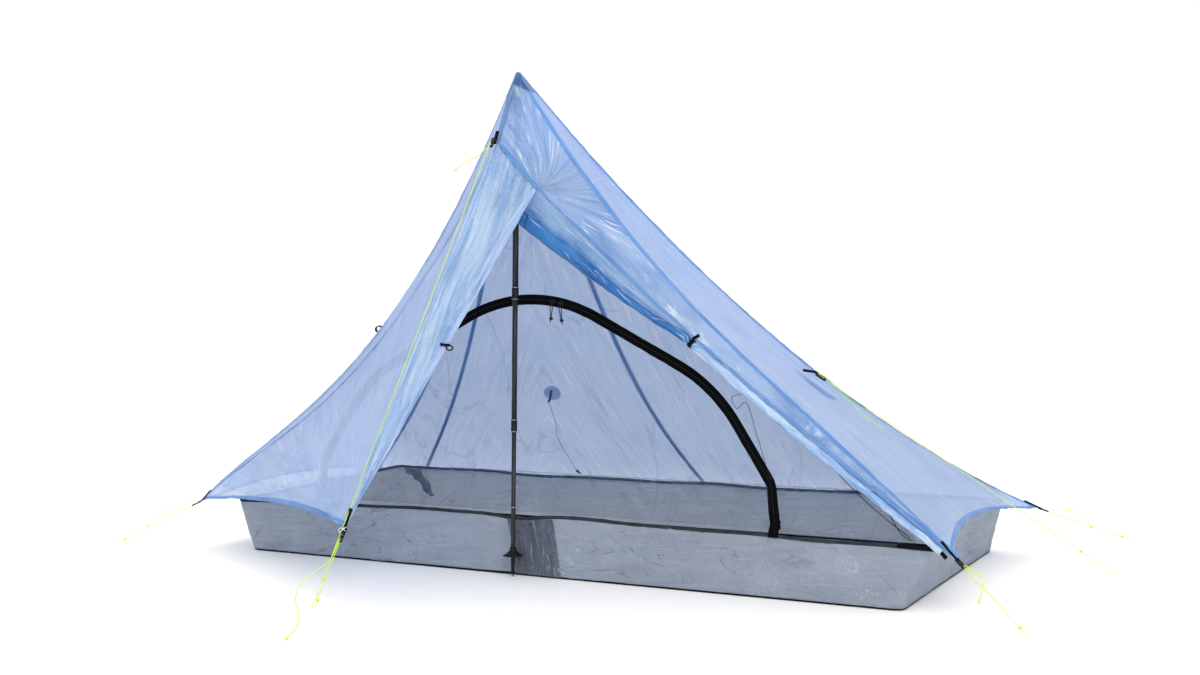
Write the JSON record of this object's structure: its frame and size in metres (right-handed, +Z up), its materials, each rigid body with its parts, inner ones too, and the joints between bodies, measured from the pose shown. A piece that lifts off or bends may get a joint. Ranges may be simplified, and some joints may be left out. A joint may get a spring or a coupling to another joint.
{
  "type": "tent",
  "caption": "Low pyramid tent on a telescoping pole, with a bathtub floor, a zipped arched mesh door, a storm door rolled up, a storm door closed, and guylines.",
  "frame": {"origin": "the pole's foot, where its tip stands on the ground", "axes": "+X to the right along the doorway's sill, +Y to the back of the tent, +Z up"},
  "size_m": [3.1133, 2.1333, 1.4903],
  "materials": {
    "canopy": "thin translucent laminate, pale blue, slightly glossy",
    "door_roll": "the canopy's laminate in many rolled layers, so a deeper blue",
    "floor": "heavier laminate, grey blue, satin",
    "mesh": "fine insect netting, dark grey",
    "binding": "woven binding tape, near black",
    "webbing": "woven webbing, cord and zip tape, black",
    "plastic": "moulded plastic, black",
    "guyline": "braided cord, bright lime",
    "carbon": "black carbon-fibre tube, satin",
    "foam": "foam grip, black"
  },
  "bodies": {
    "tent": {"peak_cap": "canopy", "canopy_back_left": "canopy", "canopy_back_middle": "canopy", "canopy_back_right": "canopy", "canopy_left_end": "canopy", "canopy_right_end": "canopy", "beak_left": "canopy", "beak_right": "canopy", "storm_door_roll": "door_roll", "floor_sheet": "floor", "tub_wall_back": "floor", "tub_wall_front": "floor", "tub_wall_left": "floor", "tub_wall_right": "floor", "mesh_front_left": "mesh", "mesh_front_right": "mesh", "mesh_skirt_back": "mesh", "mesh_skirt_left": "mesh", "mesh_skirt_right": "mesh", "tub_binding_back": "binding", "tub_binding_front": "binding", "tub_binding_left": "binding", "tub_binding_right": "binding", "zip_tape_frame": "webbing", "roll_tie_strap": "webbing", "tie_out_loop_left": "webbing", "tub_hold_up_cord": "webbing", "door_tie_cord": "webbing", "adjuster_brow": "plastic", "adjuster_left_back": "plastic", "adjuster_left_front": "plastic", "adjuster_right_back": "plastic", "adjuster_right_front": "plastic", "adjuster_right_middle": "plastic", "pole_lock_upper": "plastic", "guyline_left_back": "guyline", "guyline_left_front": "guyline", "guyline_right_back": "guyline", "guyline_right_front": "guyline", "guyline_right_middle": "guyline", "pole_upper_tube": "carbon", "pole_grip": "foam"},
    "storm_door": {"storm_door_panel": "canopy", "storm_door_flap": "canopy", "adjuster_vestibule": "plastic", "guyline_vestibule": "guyline", "guyline_brow": "guyline"},
    "door_toggle": {"door_toggle_loop": "plastic"},
    "mesh_door": {"mesh_door": "mesh", "zip_tape_door": "webbing"},
    "zip_slider_left": {"zip_slider_left": "plastic"},
    "zip_slider_right": {"zip_slider_right": "plastic"},
    "zip_pull_left": {"zip_pull_left": "webbing"},
    "zip_pull_right": {"zip_pull_right": "webbing"},
    "pole_middle": {"pole_middle_tube": "carbon", "pole_lock_lower": "plastic"},
    "pole_lower": {"pole_lower_tube": "carbon", "pole_tip": "plastic", "pole_basket": "plastic"}
  },
  "joints": [
    {"name": "storm_door_lift", "type": "hinge", "parent": "tent", "child": "storm_door", "pos_m": [-0.007, -0.015, 1.27], "axis": [-0.7382, 0.0211, -0.6742], "range_deg": [0, 110]},
    {"name": "door_toggle_swing", "type": "hinge", "parent": "storm_door", "child": "door_toggle", "pos_m": [-0.02426, -0.26075, 0.69676], "axis": [1, 0, 0], "range_deg": [-60, 60]},
    {"name": "mesh_door_drop", "type": "hinge", "parent": "tent", "child": "mesh_door", "pos_m": [0.035, 0.044, 0.186], "axis": [-1, 0, 0], "range_deg": [0, 85]},
    {"name": "zip_slide_left", "type": "hinge", "parent": "tent", "child": "zip_slider_left", "pos_m": [0.035, 0.05183, 0.32378], "axis": [0, 0.9984, -0.0567], "range_deg": [-36, 0]},
    {"name": "zip_slide_right", "type": "hinge", "parent": "tent", "child": "zip_slider_right", "pos_m": [0.035, 0.05183, 0.32378], "axis": [0, 0.9984, -0.0567], "range_deg": [0, 14]},
    {"name": "zip_pull_left_swing", "type": "hinge", "parent": "zip_slider_left", "child": "zip_pull_left", "pos_m": [0.11165, 0.06887, 0.80697], "axis": [0, 0.9984, -0.0567], "range_deg": [-10, 65]},
    {"name": "zip_pull_right_swing", "type": "hinge", "parent": "zip_slider_right", "child": "zip_pull_right", "pos_m": [0.14189, 0.06854, 0.80121], "axis": [0, 0.9984, -0.0567], "range_deg": [-65, 10]},
    {"name": "pole_middle_slide", "type": "slide", "parent": "tent", "child": "pole_middle", "axis": [0.002, 0.0567, 0.9984], "range_m": [0, 0.33]},
    {"name": "pole_lower_slide", "type": "slide", "parent": "pole_middle", "child": "pole_lower", "axis": [0.002, 0.0567, 0.9984], "range_m": [0, 0.28]}
  ]
}
